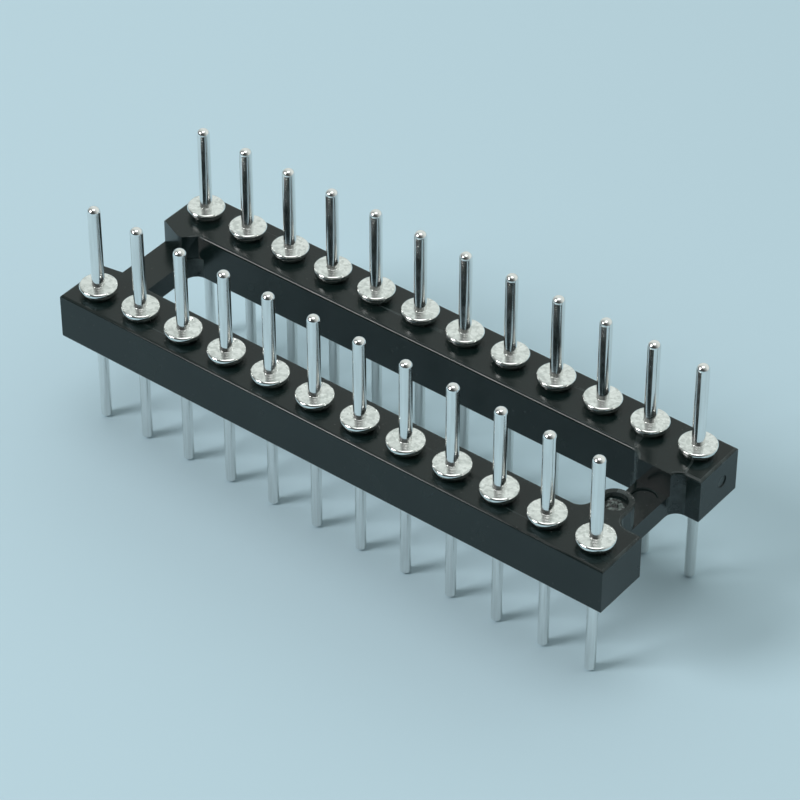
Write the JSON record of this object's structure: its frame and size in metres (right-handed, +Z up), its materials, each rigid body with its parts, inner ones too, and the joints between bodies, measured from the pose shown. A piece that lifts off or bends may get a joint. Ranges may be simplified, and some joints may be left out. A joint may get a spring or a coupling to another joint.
{
  "type": "dip header",
  "caption": "Dual-in-line header: open moulded frame with two rows of turned pins that stand out on both sides.",
  "frame": {"origin": "midway between the two pin rows and between their ends, level with the tips of the lower tails", "axes": "+X along the rows towards the end with the U-shaped notch, +Y across towards the second row, +Z up along the pins"},
  "size_m": [0.0304, 0.0102, 0.0121],
  "materials": {
    "insulator": "glossy black moulded plastic",
    "contact": "bright tin plating on turned brass"
  },
  "bodies": {
    "root": {"insulator_frame": "insulator", "contact_pin_01": "contact", "contact_pin_02": "contact", "contact_pin_03": "contact", "contact_pin_04": "contact", "contact_pin_05": "contact", "contact_pin_06": "contact", "contact_pin_07": "contact", "contact_pin_08": "contact", "contact_pin_09": "contact", "contact_pin_10": "contact", "contact_pin_11": "contact", "contact_pin_12": "contact", "contact_pin_13": "contact", "contact_pin_14": "contact", "contact_pin_15": "contact", "contact_pin_16": "contact", "contact_pin_17": "contact", "contact_pin_18": "contact", "contact_pin_19": "contact", "contact_pin_20": "contact", "contact_pin_21": "contact", "contact_pin_22": "contact", "contact_pin_23": "contact", "contact_pin_24": "contact"}
  },
  "joints": []
}
